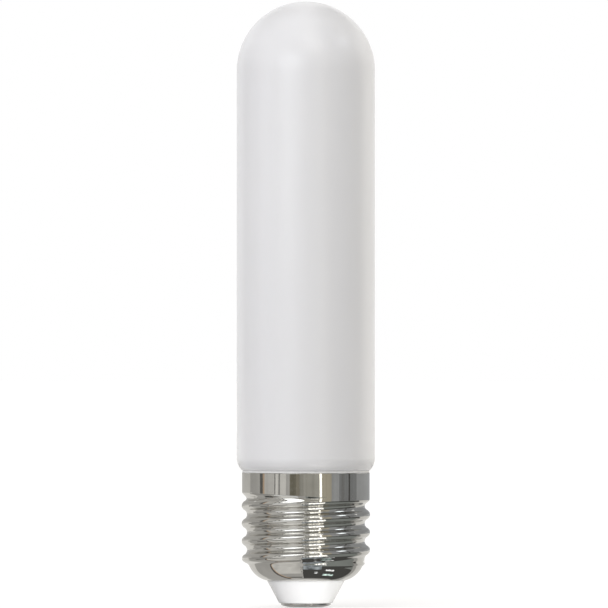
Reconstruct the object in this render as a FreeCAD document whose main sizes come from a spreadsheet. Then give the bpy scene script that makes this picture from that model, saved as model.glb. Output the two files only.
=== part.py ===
import FreeCAD, Part
import Sketcher
import math
import os

# An opal tubular lamp with an E27 screw cap, 124 mm long, in millimetres.
# It stands upright on the Z axis, dome up, with the lowest point of its centre contact at the origin.

SIZES = (
    ("overall_length", 124.0, "centre contact to the top of the dome"),
    ("tube_diameter", 28.3, "outside of the opal glass"),
    ("glass_shoulder_radius", 3.65, "rounding where the tube comes down to its seat"),
    ("neck_diameter", 22.6, "glass neck that stands in the cap"),
    ("glass_seat_inset", 0.2, "least step from the tube in to its seat, where the tube is the narrower one"),
    ("neck_room", 4.35, "between the level run of the side wire and the end of the neck"),
    ("neck_end_radius", 2.5, "rounding at the end of the neck"),
    ("exhaust_tip_diameter", 4.4, "sealed stub of the tube that the bulb was pumped through"),
    ("exhaust_tip_length", 2.4, "how far that stub stands below the neck"),
    ("cap_height", 27.6, "centre contact to the rim of the metal shell"),
    ("sheet_thickness", 0.25, "plated sheet of the shell"),
    ("skirt_diameter", 26.14, "plain band above the thread"),
    ("thread_crest_diameter", 26.3, "over the crests, E27 allows 26.05 to 26.45"),
    ("thread_depth", 1.08, "crest to root, which leaves an E27 root of 24.14"),
    ("thread_pitch", 3.63, "seven turns to the inch, as on every E27 cap"),
    ("thread_start", 4.5, "rim to where the first groove begins to sink in, halfway round its runout"),
    ("thread_start_lean", 0.7, "how much nearer to the rim it begins on one side, and farther on the other"),
    ("thread_start_side", 157.5, "degrees from +X round to the side where it begins nearest to the rim"),
    ("thread_fade_in", 1.6, "height over which the first groove reaches its depth"),
    ("thread_first_crest", 8.57, "rim to the first full crest, on the +X side"),
    ("thread_fade_out", 1.8, "length over which the last crest sinks into the shoulder"),
    ("thread_runout", 2.46, "start of the shoulder to the end of the thread, along the sheet"),
    ("shoulder_radius", 5.3, "drawn shoulder below the thread"),
    ("shell_mouth_diameter", 16.5, "where the shoulder turns into the rolled lower edge"),
    ("edge_roll_radius", 0.5, "outside of the rolled lower edge"),
    ("contact_height", 0.86, "how far the domed contact stands out of the insulator"),
    ("contact_diameter", 10.2, "head of the centre contact"),
    ("contact_flat_diameter", 4.0, "flat in the middle of the dome"),
    ("contact_edge_thickness", 0.35, "straight edge of the head"),
    ("contact_shank_diameter", 2.8, "shank pressed into the insulator"),
    ("contact_shank_length", 6.4, "from the insulator's underside"),
    ("contact_shank_standout", 0.6, "end of the shank above the insulator's boss"),
    ("contact_bore_diameter", 0.9, "hole in the shank that grips the centre wire"),
    ("contact_bore_depth", 3.2, "depth of that hole"),
    ("insulator_cone_height", 4.64, "white cone below the shell"),
    ("insulator_base_diameter", 10.9, "underside of the cone, before its corner is rounded"),
    ("insulator_corner_radius", 0.45, "rounding of that corner"),
    ("insulator_wall", 1.3, "wall of the moulding"),
    ("insulator_flange_grip", 1.55, "how far the flange reaches out past the shell's mouth"),
    ("insulator_flange_edge", 0.9, "height of the flange's edge"),
    ("insulator_boss_diameter", 5.4, "boss round the contact's shank"),
    ("rim_overhang", 0.3, "how far the rolled edge stands out over the cone"),
    ("cement_depth", 3.0, "how far the cement goes down inside the skirt"),
    ("cement_bead_height", 0.45, "cement that shows between the rim and the glass"),
    ("lead_wire_diameter", 0.5, "both wires"),
    ("lead_wire_spacing", 7.0, "between the wires where they leave the glass"),
    ("lead_wire_bend_radius", 1.1, "bends of both wires"),
    ("centre_wire_upper_bend", 4.05, "above the contact's shank"),
    ("centre_wire_lower_bend", 1.35, "above the contact's shank"),
    ("side_wire_weld_height", 0.9, "weld on the shoulder above the insulator's flange"),
    ("side_wire_drop", 2.2, "level run of the side wire above its weld"),
    ("fit_clearance", 0.05, "between pieces that are pushed or laid together"),
    ("press_clearance", 0.01, "between the contact's shank and its hole"),
)

doc = FreeCAD.newDocument("tubular_lamp")
sheet = doc.addObject("Spreadsheet::Sheet", "sizes")
for row, (alias, value, meaning) in enumerate(SIZES, start=1):
    sheet.set(f"A{row}", str(value))
    sheet.setAlias(f"A{row}", alias)
    sheet.set(f"B{row}", meaning)
doc.recompute()


def size(alias):
    return float(getattr(sheet, alias))


# Places that several pieces share, as expressions on the sheet
CLEARANCE = "sizes.fit_clearance"
TUBE_R = "sizes.tube_diameter / 2"
NECK_R = "sizes.neck_diameter / 2"
SKIRT_R = "sizes.skirt_diameter / 2"
ROOT_R = "(sizes.thread_crest_diameter / 2 - sizes.thread_depth)"
GLASS_SEAT_Z = "(sizes.cap_height + sizes.cement_bead_height)"
CONE_TOP_Z = "(sizes.contact_height + sizes.insulator_cone_height)"
MOUTH_R = "sizes.shell_mouth_diameter / 2"
SHOULDER_CENTRE_R = f"({ROOT_R} - sizes.shoulder_radius)"
# The shoulder meets the rolled edge at the mouth radius, a clearance above the cone
MOUTH_DROP = f"sqrt(pow(sizes.shoulder_radius, 2) - pow({MOUTH_R} - {SHOULDER_CENTRE_R}, 2))"
SHOULDER_CENTRE_Z = f"({CONE_TOP_Z} + {CLEARANCE} + sizes.edge_roll_radius + " \
                    f"(sizes.shoulder_radius - sizes.edge_roll_radius) * {MOUTH_DROP} / sizes.shoulder_radius)"


# The flange lies on the inside of the shoulder, and the side wire is welded to the shoulder above it
FLANGE_R = f"({MOUTH_R} + sizes.insulator_flange_grip)"
SEAT_ARC_R = f"(sizes.shoulder_radius - sizes.sheet_thickness - {CLEARANCE})"
SEAT_END_Z = f"({SHOULDER_CENTRE_Z} - sqrt(pow({SEAT_ARC_R}, 2) - pow({FLANGE_R} - {SHOULDER_CENTRE_R}, 2)))"
FLANGE_TOP_Z = f"({SEAT_END_Z} + sizes.insulator_flange_edge)"
WELD_Z = f"({FLANGE_TOP_Z} + sizes.side_wire_weld_height)"
LEVEL_RUN_Z = f"({WELD_Z} + sizes.side_wire_drop)"
NECK_END_Z = f"({LEVEL_RUN_Z} + sizes.neck_room)"


def value(expression):
    return float(sheet.evalExpression(expression.replace("sizes.", "")))


def outline(body, name, corners, arcs):
    """Closed half section of a turned piece in the XZ plane, with its centre line on Z.

    corners are (radius, height) pairs of expressions, anticlockwise. arcs gives the radius, as an
    expression, of each side that bulges, by the number of its first corner. The other sides are straight.
    """
    sketch = body.newObject("Sketcher::SketchObject", name)
    plane = next(feature for feature in body.Origin.OriginFeatures if feature.Role == "XZ_Plane")
    sketch.AttachmentSupport = [(plane, "")]
    sketch.MapMode = "FlatFace"
    places = [FreeCAD.Vector(value(radius), value(height), 0) for radius, height in corners]
    for index, start in enumerate(places):
        end = places[(index + 1) % len(places)]
        if index in arcs:
            sketch.addGeometry(arc_between(start, end, value(arcs[index])))
        else:
            sketch.addGeometry(Part.LineSegment(start, end))
    ends = [joint_ends(sketch, index, start) for index, start in enumerate(places)]
    for index, (first, last) in enumerate(ends):
        following = (index + 1) % len(places)
        sketch.addConstraint(Sketcher.Constraint("Coincident", index, last, following, ends[following][0]))
    for index, (radius, height) in enumerate(corners):
        first = ends[index][0]
        for kind, expression, axis in (("DistanceX", radius, -2), ("DistanceY", height, -1)):
            if expression == "0":
                sketch.addConstraint(Sketcher.Constraint("PointOnObject", index, first, axis))
                continue
            number = sketch.addConstraint(Sketcher.Constraint(kind, -1, 1, index, first, value(expression)))
            sketch.setExpression(f"Constraints[{number}]", expression)
    for index, radius in arcs.items():
        number = sketch.addConstraint(Sketcher.Constraint("Radius", index, value(radius)))
        sketch.setExpression(f"Constraints[{number}]", radius)
    return sketch


def arc_between(start, end, radius):
    """Short arc from start to end, with its centre on the left."""
    chord = end - start
    to_left = FreeCAD.Vector(-chord.y, chord.x, 0).normalize()
    height = math.sqrt(max(radius ** 2 - (chord.Length / 2) ** 2, 0))
    centre = start + chord * 0.5 + to_left * height
    middle = centre - to_left * radius
    return Part.Arc(start, middle, end)


def joint_ends(sketch, index, start):
    """Which end of a side lies on its first corner: an arc always runs anticlockwise."""
    geometry = sketch.Geometry[index]
    return (1, 2) if geometry.StartPoint.distanceToPoint(start) < 1e-6 else (2, 1)


def turned_piece(label, corners, arcs=None):
    """A round piece: its half section turned once about the Z axis."""
    body = doc.addObject("PartDesign::Body", label)
    body.Label = label
    sketch = outline(body, label + "_section", corners, arcs or {})
    turned = body.newObject("PartDesign::Revolution", label + "_turned")
    turned.Profile = sketch
    turned.ReferenceAxis = (sketch, ["V_Axis"])
    turned.Angle = 360
    body.Placement = FreeCAD.Placement()
    return body


# Opal glass: dome, tube, the shoulder that comes down to the cap, and the neck with its pumping stub.
# The bulb is sealed and can't be seen into, so it is one solid.
DOME_Z = f"(sizes.overall_length - {TUBE_R})"
STUB_R = "sizes.exhaust_tip_diameter / 2"
STUB_END_Z = f"({NECK_END_Z} - sizes.exhaust_tip_length)"
SEAT_R = f"min({SKIRT_R}; {TUBE_R} - sizes.glass_seat_inset)"
SHOULDER_INSET = f"(sizes.glass_shoulder_radius - {TUBE_R} + {SEAT_R})"
GLASS_SHOULDER_Z = f"({GLASS_SEAT_Z} + sqrt(pow(sizes.glass_shoulder_radius, 2) - pow({SHOULDER_INSET}, 2)))"
turned_piece(
    "glass_bulb",
    (
        ("0", STUB_END_Z),
        (STUB_R, f"{STUB_END_Z} + {STUB_R}"),
        (STUB_R, NECK_END_Z),
        (f"{NECK_R} - sizes.neck_end_radius", NECK_END_Z),
        (NECK_R, f"{NECK_END_Z} + sizes.neck_end_radius"),
        (NECK_R, GLASS_SEAT_Z),
        (SEAT_R, GLASS_SEAT_Z),
        (TUBE_R, GLASS_SHOULDER_Z),
        (TUBE_R, DOME_Z),
        ("0", "sizes.overall_length"),
    ),
    {0: STUB_R, 3: "sizes.neck_end_radius", 6: "sizes.glass_shoulder_radius", 8: TUBE_R},
)

# Cement that holds the neck in the skirt. Its bead fills the joint between the rim and the glass.
SKIRT_BORE_R = f"({SKIRT_R} - sizes.sheet_thickness)"
CEMENT_BORE_R = f"({NECK_R} + {CLEARANCE})"
CEMENT_END_Z = "(sizes.cap_height - sizes.cement_depth)"
turned_piece(
    "capping_cement",
    (
        (CEMENT_BORE_R, CEMENT_END_Z),
        (f"{SKIRT_BORE_R} - {CLEARANCE}", CEMENT_END_Z),
        (f"{SKIRT_BORE_R} - {CLEARANCE}", "sizes.cap_height"),
        (SKIRT_R, "sizes.cap_height"),
        (SKIRT_R, GLASS_SEAT_Z),
        (CEMENT_BORE_R, GLASS_SEAT_Z),
    ),
)

# Moulded insulator: the white cone, a neck through the shell's rolled edge, a flange on the inside of the
# shoulder, and a boss round the contact's shank
BORE_R = "(sizes.contact_shank_diameter / 2 + sizes.press_clearance)"
BASE_R = "sizes.insulator_base_diameter / 2"
CONE_R = f"({MOUTH_R} - sizes.rim_overhang)"
CONE_FLARE = f"({CONE_R} - {BASE_R})"
CONE_SIDE = f"sqrt(pow({CONE_FLARE}, 2) + pow(sizes.insulator_cone_height, 2))"
CORNER_RUN = f"(sizes.insulator_corner_radius * ({CONE_SIDE} - {CONE_FLARE}) / sizes.insulator_cone_height)"
EDGE_ROLL_R = f"({SHOULDER_CENTRE_R} + (sizes.shoulder_radius - sizes.edge_roll_radius) * " \
              f"({MOUTH_R} - {SHOULDER_CENTRE_R}) / sizes.shoulder_radius)"
WAIST_R = f"({EDGE_ROLL_R} - sizes.edge_roll_radius - {CLEARANCE})"
FLANGE_SEAT_Z = f"({CONE_TOP_Z} + 2 * {CLEARANCE} + sizes.edge_roll_radius)"
SEAT_START_R = f"({SHOULDER_CENTRE_R} + sqrt(pow({SEAT_ARC_R}, 2) - pow({SHOULDER_CENTRE_Z} - {FLANGE_SEAT_Z}, 2)))"
FLOOR_Z = "(sizes.contact_height + sizes.insulator_wall)"
FLOOR_R = f"({BASE_R} + sizes.insulator_wall * ({CONE_FLARE} - {CONE_SIDE}) / sizes.insulator_cone_height)"
SHANK_END_Z = "(sizes.contact_height + sizes.contact_shank_length)"
BOSS_R = "sizes.insulator_boss_diameter / 2"
BOSS_END_Z = f"({SHANK_END_Z} - sizes.contact_shank_standout)"
turned_piece(
    "insulator",
    (
        (BORE_R, "sizes.contact_height"),
        (f"{BASE_R} - {CORNER_RUN}", "sizes.contact_height"),
        (f"{BASE_R} + {CORNER_RUN} * {CONE_FLARE} / {CONE_SIDE}",
         f"sizes.contact_height + {CORNER_RUN} * sizes.insulator_cone_height / {CONE_SIDE}"),
        (CONE_R, CONE_TOP_Z),
        (WAIST_R, CONE_TOP_Z),
        (WAIST_R, FLANGE_SEAT_Z),
        (SEAT_START_R, FLANGE_SEAT_Z),
        (FLANGE_R, SEAT_END_Z),
        (FLANGE_R, FLANGE_TOP_Z),
        (f"{WAIST_R} - sizes.insulator_wall", FLANGE_TOP_Z),
        (f"{WAIST_R} - sizes.insulator_wall", CONE_TOP_Z),
        (FLOOR_R, FLOOR_Z),
        (BOSS_R, FLOOR_Z),
        (BOSS_R, BOSS_END_Z),
        (BORE_R, BOSS_END_Z),
    ),
    {1: "sizes.insulator_corner_radius", 6: SEAT_ARC_R},
)

# Centre contact: a pressed head, domed round a small flat, and a shank that grips the centre wire
HEAD_R = "sizes.contact_diameter / 2"
FLAT_R = "sizes.contact_flat_diameter / 2"
SHANK_R = "sizes.contact_shank_diameter / 2"
DOME_RISE = "(sizes.contact_height - sizes.contact_edge_thickness)"
WIRE_BORE_R = "sizes.contact_bore_diameter / 2"
WIRE_BORE_END_Z = f"({SHANK_END_Z} - sizes.contact_bore_depth)"
turned_piece(
    "centre_contact",
    (
        ("0", "0"),
        (FLAT_R, "0"),
        (HEAD_R, DOME_RISE),
        (HEAD_R, "sizes.contact_height"),
        (SHANK_R, "sizes.contact_height"),
        (SHANK_R, SHANK_END_Z),
        (WIRE_BORE_R, SHANK_END_Z),
        (WIRE_BORE_R, WIRE_BORE_END_Z),
        ("0", WIRE_BORE_END_Z),
    ),
    {1: f"(pow({HEAD_R} - {FLAT_R}, 2) + pow({DOME_RISE}, 2)) / (2 * {DOME_RISE})"},
)


def smooth(share):
    """0 below 0, 1 above 1, and a gentle step between."""
    share = min(max(share, 0.0), 1.0)
    return share * share * (3 - 2 * share)


class ScrewShell:
    """The pressed and rolled metal shell, given by its outside surface.

    A point of the sheet has a turn, its angle about Z, and a run, its distance along the sheet from the rim
    down. Without its thread the sheet is a cylinder of the root's radius, the drawn shoulder and the rolled
    lower edge. The skirt and the thread stand out from that along its normal.
    """

    def __init__(self):
        self.root_r = value(ROOT_R)
        self.rim_z = size("cap_height")
        self.shoulder_r = size("shoulder_radius")
        self.shoulder_centre = (value(SHOULDER_CENTRE_R), value(SHOULDER_CENTRE_Z))
        self.roll_r = size("edge_roll_radius")
        self.roll_centre = (value(EDGE_ROLL_R), value(f"{FLANGE_SEAT_Z} - {CLEARANCE}"))
        self.shoulder_turn = math.acos((value(MOUTH_R) - self.shoulder_centre[0]) / self.shoulder_r)
        self.wall_run = self.rim_z - self.shoulder_centre[1]
        self.shoulder_run = self.wall_run + self.shoulder_r * self.shoulder_turn
        self.length = self.shoulder_run + self.roll_r * (math.pi - self.shoulder_turn)

    def base(self, run):
        """Radius, height and the direction of the outward normal of the sheet without its thread."""
        if run <= self.wall_run:
            return self.root_r, self.rim_z - run, 0.0
        if run <= self.shoulder_run:
            turn = (run - self.wall_run) / self.shoulder_r
            centre, radius = self.shoulder_centre, self.shoulder_r
        else:
            turn = self.shoulder_turn + (run - self.shoulder_run) / self.roll_r
            centre, radius = self.roll_centre, self.roll_r
        return centre[0] + radius * math.cos(turn), centre[1] - radius * math.sin(turn), -turn

    def relief(self, turn, run):
        """How far the sheet stands out from its base: skirt, then thread, then nothing."""
        pitch, depth = size("thread_pitch"), size("thread_depth")
        crest_run = size("thread_first_crest") - pitch * turn / (2 * math.pi)
        from_crest = abs((run - crest_run + pitch / 2) % pitch - pitch / 2)
        # Crest and root are arcs of one radius that meet at a quarter of the pitch
        arc_r = ((pitch / 2) ** 2 + depth ** 2) / (4 * depth)
        if from_crest < pitch / 4:
            thread = depth - arc_r + math.sqrt(arc_r ** 2 - from_crest ** 2)
        else:
            thread = arc_r - math.sqrt(arc_r ** 2 - (pitch / 2 - from_crest) ** 2)
        skirt = size("skirt_diameter") / 2 - self.root_r
        nearest = math.cos(turn - math.radians(size("thread_start_side")))
        start = size("thread_start") - size("thread_start_lean") * nearest
        sunk = smooth((run - start) / size("thread_fade_in"))
        left = smooth((self.wall_run + size("thread_runout") - run) / size("thread_fade_out"))
        return (skirt + (thread - skirt) * sunk) * left

    def outside(self, turn, run):
        radius, height, slope = self.base(run)
        relief = self.relief(turn, run)
        radius += relief * math.cos(slope)
        height += relief * math.sin(slope)
        return FreeCAD.Vector(radius * math.cos(turn), radius * math.sin(turn), height)

    def inside(self, turn, run):
        """The point below the outside one by the sheet's thickness, along the surface's own normal."""
        step = 1e-4
        along = self.outside(turn, run + step) - self.outside(turn, run - step)
        around = self.outside(turn + step, run) - self.outside(turn - step, run)
        normal = along.cross(around).normalize()
        return self.outside(turn, run) - normal * size("sheet_thickness")

    def surface(self, side):
        """One side of the sheet as a smooth cubic surface, closed round Z, whose poles come from its points."""
        # 48 spans round Z, and as many along the sheet as keep each under 0.2 mm
        around, along = 48, math.ceil(self.length / 0.2)
        points = [[side(2 * math.pi * turn / around, self.length * step / along)
                   for step in range(-1, along + 2)] for turn in range(around)]
        columns = [[pole(points[turn - 1][step], points[turn][step], points[(turn + 1) % around][step])
                    for step in range(along + 3)] for turn in range(around)]
        poles = []
        for column in columns:
            inner = [pole(*column[step - 1:step + 2]) for step in range(1, along + 2)]
            poles.append([column[1], (inner[0] * 2 + inner[1]) / 3, *inner[1:-1],
                          (inner[-1] * 2 + inner[-2]) / 3, column[-2]])
        surface = Part.BSplineSurface()
        surface.buildFromPolesMultsKnots(
            poles, [1] * (around + 1), [4] + [1] * (along - 1) + [4],
            [float(turn) for turn in range(around + 1)], [float(step) for step in range(along + 1)],
            True, False, 3, 3)
        return surface

    def solid(self):
        """Both sides of the sheet, closed by flat rings at the rim and at the rolled edge."""
        surfaces = [self.surface(self.outside), self.surface(self.inside)]
        rings = []
        for end in (2, 3):
            wires = [Part.Wire([surface.vIso(surface.bounds()[end]).toShape()]) for surface in surfaces]
            rings.append(Part.makeFace(wires, "Part::FaceMakerBullseye"))
        skin = Part.makeCompound([surface.toShape() for surface in surfaces] + rings)
        skin.sewShape(1e-4)
        return Part.Solid(skin.Shells[0])


def pole(before, here, after):
    """Pole of a uniform cubic spline that passes through evenly spaced points."""
    return here - (before - here * 2 + after) / 6


def rolled_shell(label):
    """The shell's own object: no feature rolls a thread into sheet, so its shape is set from its surface."""
    shell = doc.addObject("Part::Feature", label)
    shell.Label = label
    shell.Shape = ScrewShell().solid()
    shell.Placement = FreeCAD.Placement()
    return shell


rolled_shell("screw_shell")


def bent_wire(label, corners):
    """A round wire along straight runs in the XZ plane, with each corner bent to the wires' own radius."""
    bend = size("lead_wire_bend_radius")
    places = [FreeCAD.Vector(value(across), 0, value(height)) for across, height in corners]
    edges, start = [], places[0]
    for before, corner, after in zip(places, places[1:], places[2:]):
        back = (before - corner).normalize()
        ahead = (after - corner).normalize()
        half_turn = (math.pi - back.getAngle(ahead)) / 2
        run_in = corner + back * bend * math.tan(half_turn)
        run_out = corner + ahead * bend * math.tan(half_turn)
        to_centre = (back + ahead).normalize()
        middle = corner + to_centre * bend * (1 / math.cos(half_turn) - 1)
        edges.append(Part.LineSegment(start, run_in).toShape())
        edges.append(Part.Arc(run_in, middle, run_out).toShape())
        start = run_out
    edges.append(Part.LineSegment(start, places[-1]).toShape())
    section = Part.Circle(places[0], places[1] - places[0], size("lead_wire_diameter") / 2)
    wire = doc.addObject("Part::Feature", label)
    wire.Label = label
    wire.Shape = Part.Wire(edges).makePipeShell([Part.Wire(section.toShape())], True, False)
    wire.Placement = FreeCAD.Placement()
    return wire


# The centre wire comes down beside the stub, crosses below it and ends in the contact's shank
WIRE_ACROSS = "sizes.lead_wire_spacing / 2"
bent_wire(
    "centre_lead_wire",
    (
        (WIRE_ACROSS, NECK_END_Z),
        (WIRE_ACROSS, f"{SHANK_END_Z} + sizes.centre_wire_upper_bend"),
        ("0", f"{SHANK_END_Z} + sizes.centre_wire_lower_bend"),
        ("0", f"{WIRE_BORE_END_Z} + {CLEARANCE}"),
    ),
)

# The side wire goes out over the insulator's flange and is welded to the inside of the shoulder
WELD_R = f"({SHOULDER_CENTRE_R} + sqrt(pow({SEAT_ARC_R}, 2) - pow({SHOULDER_CENTRE_Z} - {WELD_Z}, 2)))"
bent_wire(
    "side_lead_wire",
    (
        (f"-{WIRE_ACROSS}", NECK_END_Z),
        (f"-{WIRE_ACROSS}", LEVEL_RUN_Z),
        (f"-{MOUTH_R}", LEVEL_RUN_Z),
        (f"-{WELD_R}", WELD_Z),
    ),
)

doc.recompute()
pieces = [item for item in doc.Objects if item.TypeId in ("PartDesign::Body", "Part::Feature")]
for item in doc.Objects:
    if "Invalid" in item.State or "Error" in item.State:
        raise RuntimeError(f"{item.Label} failed: {item.State}")
for piece in pieces:
    if piece.Shape.isNull() or not piece.Shape.isValid() or len(piece.Shape.Solids) != 1:
        raise RuntimeError(f"{piece.Label} is not one valid solid")
os.makedirs("parts", exist_ok=True)
for piece in pieces:
    piece.Shape.exportStep(os.path.join("parts", piece.Label + ".step"))
    print(f"{piece.Label}: {piece.Shape.Volume:.2f} mm3")
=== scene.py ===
import math

import bpy
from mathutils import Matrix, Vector


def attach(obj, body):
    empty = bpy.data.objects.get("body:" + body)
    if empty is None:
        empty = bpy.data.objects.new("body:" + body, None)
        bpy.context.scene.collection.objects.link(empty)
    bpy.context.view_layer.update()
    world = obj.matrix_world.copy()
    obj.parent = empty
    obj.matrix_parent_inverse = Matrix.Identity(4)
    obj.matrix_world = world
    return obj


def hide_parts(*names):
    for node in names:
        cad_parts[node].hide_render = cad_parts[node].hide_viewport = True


# Looks of the opal tubular lamp: satin glass, rolled nickel-plated screw shell, glossy white insulator and
# pressed contact, on a white floor in soft studio light. Lengths are millimetres in the shapes, and metres in
# the materials and the studio.

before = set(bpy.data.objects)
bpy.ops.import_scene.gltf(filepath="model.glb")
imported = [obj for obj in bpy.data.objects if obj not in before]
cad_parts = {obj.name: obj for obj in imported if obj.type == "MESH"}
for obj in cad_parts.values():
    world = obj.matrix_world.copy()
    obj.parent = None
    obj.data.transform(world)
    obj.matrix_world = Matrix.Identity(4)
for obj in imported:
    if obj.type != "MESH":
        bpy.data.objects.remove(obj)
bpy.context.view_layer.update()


def added(name, data):
    """A new object in the scene."""
    made = bpy.data.objects.new(name, data)
    bpy.context.scene.collection.objects.link(made)
    return made


def mesh_from(name, points, faces):
    mesh = bpy.data.meshes.new(name)
    mesh.from_pydata(points, [], faces)
    return mesh


# Shapes


def arc(centre_r, centre_z, radius, start, end, steps):
    """Points (radius, height) along an arc of the half section, angles in degrees from the outward level."""
    points = []
    for step in range(steps + 1):
        angle = math.radians(start + (end - start) * step / steps)
        points.append((centre_r + radius * math.cos(angle), centre_z + radius * math.sin(angle)))
    return points


def line(start, end, steps):
    """Points between two corners of the half section, without the last one."""
    return [(start[0] + (end[0] - start[0]) * step / steps, start[1] + (end[1] - start[1]) * step / steps)
            for step in range(steps)]


def skin(name, rings, sharp_angle=35.0):
    """A smooth-shaded closed skin over rings of points.

    A ring of one point is a pole. Without poles the last ring meets the first.
    """
    points, starts, faces = [], [], []
    for ring in rings:
        starts.append(len(points))
        points.extend((x / 1000, y / 1000, z / 1000) for x, y, z in ring)
    pairs = list(zip(range(len(rings)), range(1, len(rings))))
    if len(rings[0]) > 1:
        pairs.append((len(rings) - 1, 0))
    for upper, lower in pairs:
        above, below = rings[upper], rings[lower]
        count = max(len(above), len(below))
        for turn in range(count):
            following = (turn + 1) % count
            a, b = starts[upper] + turn, starts[upper] + following
            c, d = starts[lower] + following, starts[lower] + turn
            if len(above) == 1:
                faces.append((starts[upper], d, c))
            elif len(below) == 1:
                faces.append((b, a, starts[lower]))
            else:
                faces.append((b, a, d, c))
    mesh = mesh_from(name, points, faces)
    mesh.validate()
    mesh.shade_smooth()
    mesh.set_sharp_from_angle(angle=math.radians(sharp_angle))
    return added(name, mesh)


def turned(name, section, turns, wobble=None):
    """A round piece from its half section; wobble tells how far a point moves out at its turn."""
    rings = []
    for radius, height in section:
        if radius < 1e-6:
            rings.append([(0.0, 0.0, height)])
            continue
        ring = []
        for step in range(turns):
            turn = 2 * math.pi * step / turns
            out = radius + (wobble(turn, radius, height) if wobble else 0.0)
            ring.append((out * math.cos(turn), out * math.sin(turn), height))
        rings.append(ring)
    return skin(name, rings)


OVERALL, TUBE_R, GLASS_SHOULDER_R = 124.0, 14.15, 3.65
NECK_R, NECK_END_R, STUB_R = 11.3, 2.5, 2.2
RIM_Z, SEAT_Z, SKIRT_R = 27.6, 28.05, 13.07
NECK_END_Z, STUB_END_Z, FLANGE_TOP_Z = 15.03, 12.63, 7.58
CONE_FOOT_Z, CONE_TOP_Z = 0.86, 5.5
SHEET, CLEARANCE = 0.25, 0.05


def opal_glass():
    """Dome, tube, the shoulder down to the cap, and the neck with its stub inside the cap."""
    inset = GLASS_SHOULDER_R - TUBE_R + SKIRT_R
    rise = math.sqrt(GLASS_SHOULDER_R ** 2 - inset ** 2)
    shoulder_z = SEAT_Z + rise
    low = -math.degrees(math.atan2(rise, inset))
    section = [(0.0, OVERALL)]
    section += arc(0.0, OVERALL - TUBE_R, TUBE_R, 90, 0, 56)[1:]
    section += line((TUBE_R, OVERALL - TUBE_R), (TUBE_R, shoulder_z), 40)[1:]
    section += arc(TUBE_R - GLASS_SHOULDER_R, shoulder_z, GLASS_SHOULDER_R, 0, low, 16)
    section += [(NECK_R, SEAT_Z)]
    section += arc(NECK_R - NECK_END_R, NECK_END_Z + NECK_END_R, NECK_END_R, 0, -90, 8)
    section += arc(0.0, STUB_END_Z + STUB_R, STUB_R, 0, -90, 8)[:-1]
    section += [(0.0, STUB_END_Z)]
    return turned("opal_glass_tube", section, 256)


def cement_bead():
    """Cement that fills the joint between the glass and the rim, slightly uneven where it shows."""
    bore, outer, foot = NECK_R + CLEARANCE, SKIRT_R - SHEET - CLEARANCE, RIM_Z - 3.0
    section = [(bore, foot), (outer, foot), (outer, RIM_Z), (SKIRT_R - 0.16, RIM_Z),
               (SKIRT_R - 0.07, RIM_Z + 0.06), (SKIRT_R - 0.05, SEAT_Z - 0.2), (SKIRT_R - 0.09, SEAT_Z - 0.07),
               (SKIRT_R - SHEET, SEAT_Z), (bore, SEAT_Z)]

    def uneven(turn, radius, height):
        hidden = radius < SKIRT_R - 0.2 or height > SEAT_Z - 0.01
        return 0.0 if hidden else 0.025 * math.sin(5 * turn + 1) * math.sin(17 * turn) - 0.02

    return turned("cement_bead", section, 256, uneven)


PITCH, DEPTH, CREST_R = 3.63, 1.08, 13.15
ROOT_R = CREST_R - DEPTH
SHOULDER_R, ROLL_R, MOUTH_R = 5.3, 0.5, 8.25
SHOULDER_CENTRE_R = ROOT_R - SHOULDER_R
MOUTH_DROP = math.sqrt(SHOULDER_R ** 2 - (MOUTH_R - SHOULDER_CENTRE_R) ** 2)
ROLL_CENTRE_R = SHOULDER_CENTRE_R + (SHOULDER_R - ROLL_R) * (MOUTH_R - SHOULDER_CENTRE_R) / SHOULDER_R
ROLL_CENTRE_Z = CONE_TOP_Z + CLEARANCE + ROLL_R
SHOULDER_CENTRE_Z = ROLL_CENTRE_Z + (SHOULDER_R - ROLL_R) * MOUTH_DROP / SHOULDER_R
SHOULDER_TURN = math.acos((MOUTH_R - SHOULDER_CENTRE_R) / SHOULDER_R)
# Runs are lengths along the sheet from the rim: down the wall, round the shoulder and through the rolled edge
WALL_RUN = RIM_Z - SHOULDER_CENTRE_Z
SHOULDER_RUN = WALL_RUN + SHOULDER_R * SHOULDER_TURN
SHEET_LENGTH = SHOULDER_RUN + ROLL_R * (math.pi - SHOULDER_TURN)
# The crest's run at turn 0, and the run where the first groove begins, which is shortest at one turn
CREST_RUN = 8.57
THREAD_START, START_SWING, SHORTEST_START, FADE_IN = 4.5, 0.7, math.radians(157.5), 1.6
THREAD_RUNOUT, FADE_OUT = 2.46, 1.8


def smooth(share):
    share = min(max(share, 0.0), 1.0)
    return share * share * (3 - 2 * share)


def thread_relief(turn, run):
    """How far the sheet stands out from the root: skirt, then the rolled thread, then nothing."""
    crest_run = CREST_RUN - PITCH * turn / (2 * math.pi)
    from_crest = abs((run - crest_run + PITCH / 2) % PITCH - PITCH / 2)
    arc_r = ((PITCH / 2) ** 2 + DEPTH ** 2) / (4 * DEPTH)
    if from_crest < PITCH / 4:
        thread = DEPTH - arc_r + math.sqrt(arc_r ** 2 - from_crest ** 2)
    else:
        thread = arc_r - math.sqrt(arc_r ** 2 - (PITCH / 2 - from_crest) ** 2)
    skirt = SKIRT_R - ROOT_R
    start = THREAD_START - START_SWING * math.cos(turn - SHORTEST_START)
    sunk = smooth((run - start) / FADE_IN)
    left = smooth((WALL_RUN + THREAD_RUNOUT - run) / FADE_OUT)
    return (skirt + (thread - skirt) * sunk) * left


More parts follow.
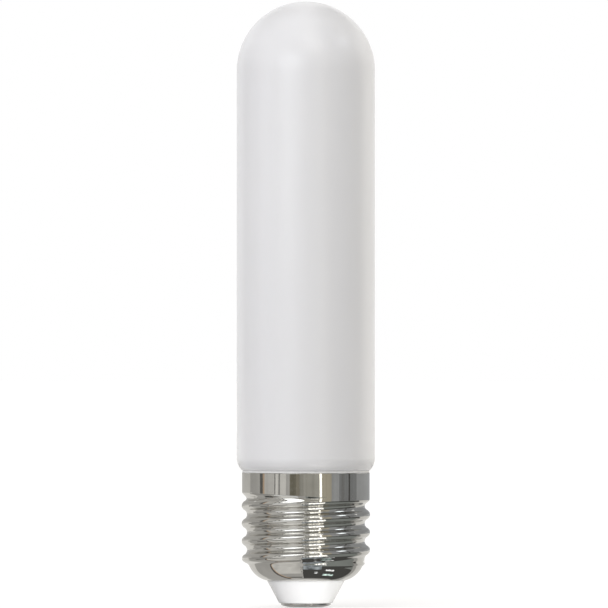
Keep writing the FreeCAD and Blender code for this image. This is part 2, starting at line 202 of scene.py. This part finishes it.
def sheet_point(turn, run, inset):
    """A point of the shell's sheet, inset below its outside."""
    if run <= WALL_RUN:
        radius, height, slope = ROOT_R, RIM_Z - run, 0.0
    elif run <= SHOULDER_RUN:
        angle = (run - WALL_RUN) / SHOULDER_R
        radius = SHOULDER_CENTRE_R + SHOULDER_R * math.cos(angle)
        height, slope = SHOULDER_CENTRE_Z - SHOULDER_R * math.sin(angle), -angle
    else:
        angle = SHOULDER_TURN + (run - SHOULDER_RUN) / ROLL_R
        radius = ROLL_CENTRE_R + ROLL_R * math.cos(angle)
        height, slope = ROLL_CENTRE_Z - ROLL_R * math.sin(angle), -angle
    out = thread_relief(turn, run) - inset
    radius += out * math.cos(slope)
    return radius * math.cos(turn), radius * math.sin(turn), height + out * math.sin(slope)


def screw_shell():
    """The pressed and rolled sheet, outside and inside, with a rounded cut edge at its rim."""
    turns, outer_steps, inner_steps, edge = 288, 230, 110, 0.06
    outside = [(max(SHEET_LENGTH * step / outer_steps, edge), 0.0) for step in range(outer_steps + 1)]
    inside = [(SHEET_LENGTH * step / inner_steps, SHEET) for step in range(inner_steps, -1, -1)]
    rings = []
    for run, inset in [(0.0, edge)] + outside + inside:
        rings.append([sheet_point(2 * math.pi * step / turns, run, inset) for step in range(turns)])
    return skin("rolled_screw_shell", rings, 50.0)


def insulator():
    """White moulding: cone with a rounded corner, neck through the shell's edge, flange and boss inside."""
    foot_r, top_r, corner_r, wall = 5.45, 7.95, 0.45, 1.3
    hole_r, boss_r, boss_top, flange_r = 1.41, 2.7, 6.66, 9.8
    flare, drop = top_r - foot_r, CONE_TOP_Z - CONE_FOOT_Z
    side = math.hypot(flare, drop)
    lean = math.degrees(math.atan2(flare, drop))
    corner = corner_r * (side - flare) / drop
    corner_end = (foot_r + corner * flare / side, CONE_FOOT_Z + corner * drop / side)
    waist = ROLL_CENTRE_R - ROLL_R - CLEARANCE
    bore = waist - wall
    floor_z = CONE_FOOT_Z + wall
    seat_arc = SHOULDER_R - SHEET - CLEARANCE
    seat_z = ROLL_CENTRE_Z + CLEARANCE
    seat_start = SHOULDER_CENTRE_R + math.sqrt(seat_arc ** 2 - (SHOULDER_CENTRE_Z - seat_z) ** 2)
    seat_end = SHOULDER_CENTRE_Z - math.sqrt(seat_arc ** 2 - (flange_r - SHOULDER_CENTRE_R) ** 2)
    section = [(hole_r, CONE_FOOT_Z), (3.0, CONE_FOOT_Z)]
    section += arc(foot_r - corner, CONE_FOOT_Z + corner_r, corner_r, -90, -lean, 8)
    section += line(corner_end, (top_r, CONE_TOP_Z), 12)[1:]
    section += [(top_r - 0.02, CONE_TOP_Z - 0.03), (top_r - 0.05, CONE_TOP_Z), (waist, CONE_TOP_Z),
                (waist, seat_z), (seat_start, seat_z), (flange_r, seat_end), (flange_r, FLANGE_TOP_Z),
                (bore, FLANGE_TOP_Z), (bore, CONE_TOP_Z), (foot_r + wall * (flare - side) / drop, floor_z),
                (boss_r, floor_z), (boss_r, boss_top), (hole_r, boss_top)]
    return turned("moulded_insulator", section, 192)


def contact():
    """Pressed head, domed round a small flat, and its shank with the hole that grips the wire."""
    head_r, flat_r, dome_rise, edge = 5.1, 2.0, 0.51, 0.05
    shank_r, shank_end, wire_hole_r, wire_hole_end = 1.4, 7.26, 0.45, 4.06
    dome_r = ((head_r - flat_r) ** 2 + dome_rise ** 2) / (2 * dome_rise)
    dome_end = math.degrees(math.asin((head_r - edge - flat_r) / dome_r))
    section = [(0.0, 0.0), (flat_r, 0.0)]
    section += arc(flat_r, dome_r, dome_r, -90, dome_end - 90, 24)[1:]
    section += [(head_r, dome_rise + 0.03), (head_r, CONE_FOOT_Z - 0.02), (head_r - 0.02, CONE_FOOT_Z),
                (shank_r, CONE_FOOT_Z), (shank_r, shank_end - 0.06), (shank_r - 0.1, shank_end),
                (wire_hole_r, shank_end), (wire_hole_r, wire_hole_end), (0.0, wire_hole_end)]
    return turned("pressed_contact", section, 160)


# Materials


def new_material(name):
    material = bpy.data.materials.new(name)
    material.use_nodes = True
    nodes = material.node_tree.nodes
    return material, nodes, material.node_tree.links, nodes["Principled BSDF"]


def dial(made, **inputs):
    """Sets a node's inputs by name."""
    for name, number in inputs.items():
        made.inputs[name.replace("_", " ")].default_value = number


def node(nodes, kind, **inputs):
    """Adds a node and sets its inputs."""
    made = nodes.new(kind)
    dial(made, **inputs)
    return made


def noise(nodes, links, scale, detail=4.0):
    """A noise over the object's coordinates, which are multiplied by scale first."""
    coordinates = nodes.new("ShaderNodeTexCoord")
    mapping = node(nodes, "ShaderNodeMapping", Scale=scale)
    made = node(nodes, "ShaderNodeTexNoise", Scale=1.0, Detail=detail)
    links.new(coordinates.outputs["Object"], mapping.inputs["Vector"])
    links.new(mapping.outputs["Vector"], made.inputs["Vector"])
    return made.outputs["Fac"]


def toned(nodes, links, shader, dark, light, scale, detail=4.0):
    """Gives the base colour two tones in the clouds of a noise."""
    made = nodes.new("ShaderNodeValToRGB")
    for element, position, colour in zip(made.color_ramp.elements, (0.3, 0.7), (dark, light)):
        element.position = position
        element.color = (*colour, 1.0)
    links.new(noise(nodes, links, scale, detail), made.inputs["Fac"])
    links.new(made.outputs["Color"], shader.inputs["Base Color"])


def spread(nodes, links, source, low, high, dark_below=0.3, light_above=0.7):
    """Maps the source's range from dark_below to light_above to one from low to high."""
    made = node(nodes, "ShaderNodeMapRange", From_Min=dark_below, From_Max=light_above, To_Min=low, To_Max=high)
    links.new(source, made.inputs["Value"])
    return made.outputs["Result"]


def bump(nodes, links, source, distance, strength, under=None):
    made = node(nodes, "ShaderNodeBump", Strength=strength, Distance=distance)
    links.new(source, made.inputs["Height"])
    if under:
        links.new(under, made.inputs["Normal"])
    return made.outputs["Normal"]


def opal_material():
    material, nodes, links, shader = new_material("satin_opal_glass")
    toned(nodes, links, shader, (0.805, 0.806, 0.812), (0.83, 0.831, 0.834), (60, 60, 22), 3.0)
    grain = noise(nodes, links, (2600, 2600, 2600), 2.0)
    drawn = noise(nodes, links, (420, 420, 6), 2.0)
    under = bump(nodes, links, drawn, 0.00002, 0.25)
    links.new(bump(nodes, links, grain, 0.000012, 0.35, under), shader.inputs["Normal"])
    satin = spread(nodes, links, noise(nodes, links, (150, 150, 60)), 0.3, 0.36)
    links.new(satin, shader.inputs["Roughness"])
    dial(shader, IOR=1.5, Coat_Weight=0.6, Coat_Roughness=0.27)
    dial(shader, Subsurface_Weight=0.12, Subsurface_Radius=(1.0, 0.95, 0.9), Subsurface_Scale=0.0012)
    return material


def cement_material():
    material, nodes, links, shader = new_material("off_white_cement")
    toned(nodes, links, shader, (0.8, 0.8, 0.79), (0.9, 0.9, 0.89), (900, 900, 900))
    grit = noise(nodes, links, (1800, 1800, 1800))
    links.new(bump(nodes, links, grit, 0.00004, 0.6), shader.inputs["Normal"])
    dial(shader, Roughness=0.75)
    return material


def plated_material():
    material, nodes, links, shader = new_material("bright_nickel_plate")
    toned(nodes, links, shader, (0.60, 0.59, 0.56), (0.68, 0.67, 0.64), (220, 220, 260), 5.0)
    haze = spread(nodes, links, noise(nodes, links, (500, 500, 2500), 5.0), 0.03, 0.08)
    links.new(haze, shader.inputs["Roughness"])
    wave = noise(nodes, links, (170, 170, 120), 2.0)
    drawn = noise(nodes, links, (120, 120, 5200), 3.0)
    under = bump(nodes, links, wave, 0.00006, 0.35)
    links.new(bump(nodes, links, drawn, 0.000004, 0.25, under), shader.inputs["Normal"])
    dial(shader, Metallic=1.0)
    return material


def moulding_material():
    material, nodes, links, shader = new_material("glossy_white_moulding")
    toned(nodes, links, shader, (0.9, 0.9, 0.895), (0.93, 0.93, 0.925), (300, 300, 300))
    ripple = noise(nodes, links, (700, 700, 700), 2.0)
    links.new(bump(nodes, links, ripple, 0.00002, 0.2), shader.inputs["Normal"])
    dial(shader, Roughness=0.16)
    return material


def contact_material():
    material, nodes, links, shader = new_material("nickel_contact")
    toned(nodes, links, shader, (0.56, 0.55, 0.535), (0.66, 0.65, 0.635), (500, 500, 500))
    rubbed = spread(nodes, links, noise(nodes, links, (900, 900, 900), 5.0), 0.16, 0.3)
    links.new(rubbed, shader.inputs["Roughness"])
    grain = noise(nodes, links, (1500, 1500, 1500))
    links.new(bump(nodes, links, grain, 0.00001, 0.4), shader.inputs["Normal"])
    dial(shader, Metallic=1.0)
    return material


def wire_material():
    material, nodes, links, shader = new_material("bare_copper")
    toned(nodes, links, shader, (0.62, 0.34, 0.2), (0.76, 0.44, 0.28), (1500, 1500, 1500))
    dial(shader, Metallic=1.0, Roughness=0.28)
    return material


def place(piece, node_name, material):
    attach(piece, "root")
    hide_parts(node_name)
    piece.data.materials.clear()
    piece.data.materials.append(material)


place(opal_glass(), "glass_bulb", opal_material())
place(cement_bead(), "capping_cement", cement_material())
place(screw_shell(), "screw_shell", plated_material())
place(insulator(), "insulator", moulding_material())
place(contact(), "centre_contact", contact_material())
# The wires are closed in, so they keep the CAD's shape
copper = wire_material()
for wire in ("centre_lead_wire", "side_lead_wire"):
    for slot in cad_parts[wire].material_slots:
        slot.material = copper


# Studio


def combined(nodes, links, operation, first, second):
    made = nodes.new("ShaderNodeMath")
    made.operation = operation
    links.new(first, made.inputs[0])
    links.new(second, made.inputs[1])
    return made.outputs["Value"]


def shows_background(nodes, links):
    """1 for camera, mirror and see-through rays, 0 for the light that falls on the object."""
    path = nodes.new("ShaderNodeLightPath")
    either = path.outputs["Is Camera Ray"]
    for name in ("Is Glossy Ray", "Is Transmission Ray"):
        either = combined(nodes, links, "MAXIMUM", either, path.outputs[name])
    return either


def white_world(ambient, tint):
    """White where it is looked at, mirrored or seen through, and a dimmer light for all the rest."""
    world = bpy.data.worlds.new("studio_white")
    world.use_nodes = True
    nodes, links = world.node_tree.nodes, world.node_tree.links
    background = nodes["Background"]
    dial(background, Color=(*tint, 1), Strength=ambient)
    white = node(nodes, "ShaderNodeBackground", Color=(1, 1, 1, 1), Strength=1.0)
    mixed = nodes.new("ShaderNodeMixShader")
    links.new(shows_background(nodes, links), mixed.inputs["Fac"])
    links.new(background.outputs["Background"], mixed.inputs[1])
    links.new(white.outputs["Background"], mixed.inputs[2])
    links.new(mixed.outputs["Shader"], nodes["World Output"].inputs["Surface"])
    bpy.context.scene.world = world


def white_floor(near_glow, far_glow, near=0.1, far=0.9):
    """A white floor that keeps the lamp's shadow.

    It glows only where it is looked at or mirrored, and more beyond far, where the lamps light it less.
    """
    half = 8.0
    square = [(-half, -half, 0), (half, -half, 0), (half, half, 0), (-half, half, 0)]
    mesh = mesh_from("studio_floor", square, [(0, 1, 2, 3)])
    floor = added("studio_floor", mesh)
    material, nodes, links, shader = new_material("white_floor")
    nodes.remove(shader)
    diffuse = node(nodes, "ShaderNodeBsdfDiffuse", Color=(0.6, 0.6, 0.6, 1))
    emission = node(nodes, "ShaderNodeEmission", Color=(1, 1, 1, 1))
    coordinates = nodes.new("ShaderNodeTexCoord")
    distance = nodes.new("ShaderNodeVectorMath")
    distance.operation = "LENGTH"
    links.new(coordinates.outputs["Object"], distance.inputs[0])
    glow = spread(nodes, links, distance.outputs["Value"], near_glow, far_glow, near, far)
    strength = combined(nodes, links, "MULTIPLY", shows_background(nodes, links), glow)
    links.new(strength, emission.inputs["Strength"])
    both = nodes.new("ShaderNodeAddShader")
    links.new(diffuse.outputs["BSDF"], both.inputs[0])
    links.new(emission.outputs["Emission"], both.inputs[1])
    links.new(both.outputs["Shader"], nodes["Material Output"].inputs["Surface"])
    mesh.materials.append(material)


def glowing(name, points, faces, colour, grain=(9, 9, 3), low=0.88, high=1.12, **clouds):
    """A studio card that only mirrors show.

    Its strength runs from low to high in the clouds of a noise, whose scale is grain.
    """
    mesh = mesh_from(name, points, faces)
    made = added(name, mesh)
    material, nodes, links, shader = new_material(name)
    nodes.remove(shader)
    emission = node(nodes, "ShaderNodeEmission", Color=(*colour, 1))
    strength = spread(nodes, links, noise(nodes, links, grain, 2.0), low, high, **clouds)
    links.new(strength, emission.inputs["Strength"])
    links.new(emission.outputs["Emission"], nodes["Material Output"].inputs["Surface"])
    mesh.materials.append(material)
    made.visible_camera = False
    made.visible_diffuse = False
    made.visible_shadow = False


def spot_at(bearing, distance, height):
    """A point round the lamp; bearings are degrees, 0 towards the camera and positive to the right."""
    angle = math.radians(bearing)
    return distance * math.sin(angle), -distance * math.cos(angle), height


def band(name, start, end, nearer, farther, colour, **patches):
    """A card round the lamp between two bearings, from one (distance, height) to another."""
    steps = max(2, round(abs(end - start) / 4))
    points = []
    for step in range(steps + 1):
        bearing = start + (end - start) * step / steps
        points += [spot_at(bearing, *nearer), spot_at(bearing, *farther)]
    faces = [(2 * step, 2 * step + 2, 2 * step + 3, 2 * step + 1) for step in range(steps)]
    glowing(name, points, faces, colour, **patches)


def wall(name, start, end, colour, distance=0.7, low=0.0005, high=0.5):
    band(name, start, end, (distance, low), (distance, high), colour)


def ceiling(name, start, end, colour, near=0.12, far=0.7, height=0.5, **patches):
    band(name, start, end, (near, height), (far, height), colour, **patches)


def table(name, start, end, colour, near=0.0034, far=0.7, height=0.0001, **patches):
    band(name, start, end, (near, height), (far, height), colour, **patches)


def cutting(name, height, colour, outline, **patches):
    """A level card on the table, with its outline's corners."""
    points = [(x, y, height) for x, y in outline]
    glowing(name, points, [tuple(range(len(points)))], colour, **patches)


def oval(name, bearing, half_width, height, half_height, colour, distance=0.6, **patches):
    """An upright card that faces the lamp, an oval that draws in to its four ends."""
    count, draw_in = 48, 0.7
    points = []
    for step in range(count):
        turn = 2 * math.pi * step / count
        across, up = (part * abs(part) ** draw_in for part in (math.cos(turn), math.sin(turn)))
        points.append(spot_at(bearing + half_width * across, distance, height + half_height * up))
    glowing(name, points, [tuple(range(count))], colour, **patches)


def shine(name, kind, position, target, power):
    """A lamp of the given kind that faces its target, and that mirrors don't show."""
    light = bpy.data.lights.new(name, kind)
    light.energy = power
    made = added(name, light)
    made.location = position
    made.rotation_euler = (Vector(target) - Vector(position)).to_track_quat("-Z", "Y").to_euler()
    made.visible_glossy = False
    return light


def lamp(name, position, target, width, height, power, colour):
    light = shine(name, "AREA", position, target, power)
    light.shape = "RECTANGLE"
    light.size, light.size_y = width, height
    light.color = colour


def spot(name, position, target, angle, power):
    light = shine(name, "SPOT", position, target, power)
    light.spot_size = math.radians(angle)
    light.spot_blend = 0.6
    light.shadow_soft_size = 0.004


WARM, KHAKI, TAN, OLIVE = (1.0, 0.985, 0.95), (1.0, 0.975, 0.88), (1.0, 0.92, 0.74), (1.0, 0.93, 0.72)
COOL, SKY, HAZE = (0.96, 0.98, 1.0), (0.88, 0.94, 1.0), (0.85, 0.93, 1.0)
MINT, PALE_GREEN = (0.8, 1.0, 0.96), (0.94, 1.0, 0.96)


def grey(level, tint=WARM):
    return tuple(level * part for part in tint)


white_world(0.6, (1.0, 0.975, 0.94))
white_floor(0.53, 0.69)

# The room that the plated cap mirrors: light on the left, dark in front, a strip lamp, grey on the right
wall("left_rear_card", -168, -115, grey(0.54), 0.12, 0.012, 0.0276)
wall("left_wall_card", -126, -91, grey(0.44))
wall("left_dark_flag", -91, -84, grey(0.14))
wall("left_wood_edge", -84, -80, grey(0.55, (1.0, 0.76, 0.56)))
wall("left_front_card", -80, -57, grey(0.58))
for name, bearing, width in (("a", -58.2, 2.0), ("b", -49.8, 2.2), ("c", 68, 1.6), ("d", 71.5, 1.6)):
    wall(f"thin_flag_{name}", bearing, bearing + width, grey(0.16), 0.69)
wall("left_bright_card", -57, -36, grey(0.72))
wall("front_soft_edge", -36, -29, grey(0.45))
wall("front_dark_flag", -29, -18, grey(0.18, OLIVE))
wall("front_shade", -18, -11, grey(0.27, TAN))
wall("front_shade_light", -11, -4, grey(0.34, KHAKI))
wall("front_card", -4, 25, grey(0.41, KHAKI))
wall("strip_lamp_card", 25, 28.8, grey(2.4, (1.0, 0.97, 0.88)))
wall("right_tan_card", 28.8, 47, grey(0.45, TAN))
# Low lights across the room in front
wall("low_light_a", -4, 6, grey(1.2), 0.68, 0.05, 0.07)
wall("low_light_b", 8, 22, grey(1.8), 0.68, 0.055, 0.085)
# A soft lamp on the left, which the tube mirrors as a sheen and the thread as streaks, and its dark frame
oval("soft_lamp_card", -26, 24, 0.25, 0.19, grey(2.4, COOL), grain=(14, 14, 60), low=0.4, high=1.5)
oval("soft_lamp_frame", -28, 26, 0.3, 0.26, grey(0.14), 0.69)
wall("right_front_card", 47, 62, grey(0.38, COOL))
wall("right_wall_card", 62, 110, grey(0.25, COOL))
wall("right_dark_flag", 83, 87, grey(0.08), 0.68)
wall("right_rear_card", 100, 168, grey(0.4, COOL), 0.12, 0.012, 0.0276)
ceiling("left_ceiling", -168, -40, grey(0.5))
ceiling("front_ceiling", -40, 20, grey(0.3))
ceiling("right_ceiling", 20, 168, grey(0.32, COOL))
table("under_table", -180, 180, grey(0.4), far=0.0066)
table("left_table", -180, -1, grey(0.46), 0.0066)
table("back_table", 112, 248, grey(0.8), 0.012, height=0.00011)
# The edge of something on the table runs in under the cap from the left
cutting("left_table_light", 0.00012, grey(0.74),
        ((-0.004, -0.0044), (-0.05, -0.0206), (-0.05, -0.06), (-0.0044, -0.05), (-0.0006, -0.0066)),
        low=0.75, high=1.25, grain=(90, 60, 1))
table("left_table_near", -43, -7, grey(0.22), 0.0066, 0.0085, 0.00013)
table("left_table_middle", -50, -6, grey(0.45), 0.0085, 0.0115, 0.00013)
cutting("left_table_edge", 0.00014, grey(0.12),
        ((-0.004, -0.0040), (-0.05, -0.0202), (-0.05, -0.0212), (-0.004, -0.0052)))
cutting("left_table_wood", 0.00015, grey(0.62, (1.0, 0.74, 0.54)),
        ((-0.004, -0.0052), (-0.05, -0.0212), (-0.05, -0.0218), (-0.0038, -0.0057)))
table("dark_table", -9, 98, grey(0.08), 0.0066, 0.019, 0.00012)
table("front_table", -1, 98, grey(0.27, PALE_GREEN), 0.019)
table("right_table", 98, 180, grey(0.45), 0.0066)
# Dark rings that draw fine lines along the thread's flanks on the left
table("left_table_line", -88, -30, grey(0.1), 0.028, 0.036, 0.00016)
ceiling("left_ceiling_line", -150, -48, grey(0.1), 0.27, 0.36, 0.48)
table("left_table_ring", -120, -58, grey(0.3), 0.06, 0.15, 0.00015)
# A sheen on the left of the table, a dark ring on the right and a bluish haze in front
table("left_table_sheen", -58, -15, grey(1.0, COOL), 0.075, 0.2, 0.00015)
table("front_table_ring", 3, 110, grey(0.05), 0.07, 0.3, 0.00015)
table("front_haze", -4, 26, grey(0.5, HAZE), 0.0155, 0.0235, 0.00015, grain=(260, 330, 1), low=0.12, high=1.5)
# Shelves level with the bottom of the glass: from below, the cap's upper flanks mirror them at its sides, and
# from above, the glass's lower edge mirrors the one behind
ceiling("left_shelf", -180, -90, grey(0.5), 0.0138, 0.12, 0.0285)
ceiling("right_shelf", 90, 180, grey(0.36, COOL), 0.0138, 0.12, 0.0285)
table("shelf_top", 92, 268, grey(0.95), 0.0145, 0.12, 0.0288)
# Glints on the shoulder
for name, bearing, width, near, tint in (("a", 32, 22, 0.0098, MINT), ("b", 34, 16, 0.0142, COOL),
                                         ("c", 15, 5, 0.0116, COOL)):
    table(f"table_glint_{name}", bearing, bearing + width, grey(1.7, tint), near, near + 0.0015, 0.0002,
          grain=(900, 1300, 1), low=0.05, high=1.5, dark_below=0.36, light_above=0.62)
# Small bright things in front, above and below, that the thread's flanks break up into specks
SPARSE = {"low": 0.25, "high": 2.4, "dark_below": 0.55, "light_above": 0.62}
DENSE = {"low": 0.25, "high": 3.2, "dark_below": 0.44, "light_above": 0.53}
ceiling("front_specks_above", -8, 6, grey(1.0), 0.15, 0.6, 0.49, grain=(110, 30, 1), **SPARSE)
ceiling("front_bright_above", 6, 34, grey(1.0), 0.15, 0.6, 0.49, grain=(110, 30, 1), **DENSE)
table("front_specks_below", -8, 6, grey(1.0), 0.026, 0.07, 0.0002, grain=(900, 260, 1), **SPARSE)
table("front_bright_below", 6, 34, grey(1.0), 0.026, 0.07, 0.0002, grain=(900, 260, 1), **DENSE)
ceiling("window_above", 72, 92, grey(2.2, SKY), 0.38, 0.6, 0.49)

lamp("key_softbox", (-0.25, -0.97, 0.42), (0, 0, 0.08), 0.45, 0.5, 3.0, (0.95, 0.96, 1.0))
lamp("left_softbox", (-0.85, -0.25, 0.2), (0, 0, 0.07), 0.3, 0.4, 0.8, (0.82, 0.85, 1.0))
lamp("top_softbox", (-0.12, -0.25, 0.6), (0, 0, 0.09), 0.3, 0.3, 0.7, (0.94, 0.94, 1.0))
lamp("rim_softbox", (0.62, 0.42, 0.18), (0, 0, 0.08), 0.3, 0.5, 1.9, (1.0, 0.95, 0.86))
spot("cap_kicker", (0.38, -0.83, 0.05), (0, 0, 0), 1.7, 20.0)

# A long lens from far away, level with the middle of the lamp
camera_data = bpy.data.cameras.new("studio_camera")
camera_data.sensor_width = 36.0
camera_data.lens = 798.7
camera = added("studio_camera", camera_data)
camera.location = (-0.000378, -2.7608, 0.0621)
camera.rotation_euler = (math.radians(90), 0, 0)
bpy.context.scene.camera = camera
bpy.context.scene.view_settings.view_transform = "Standard"
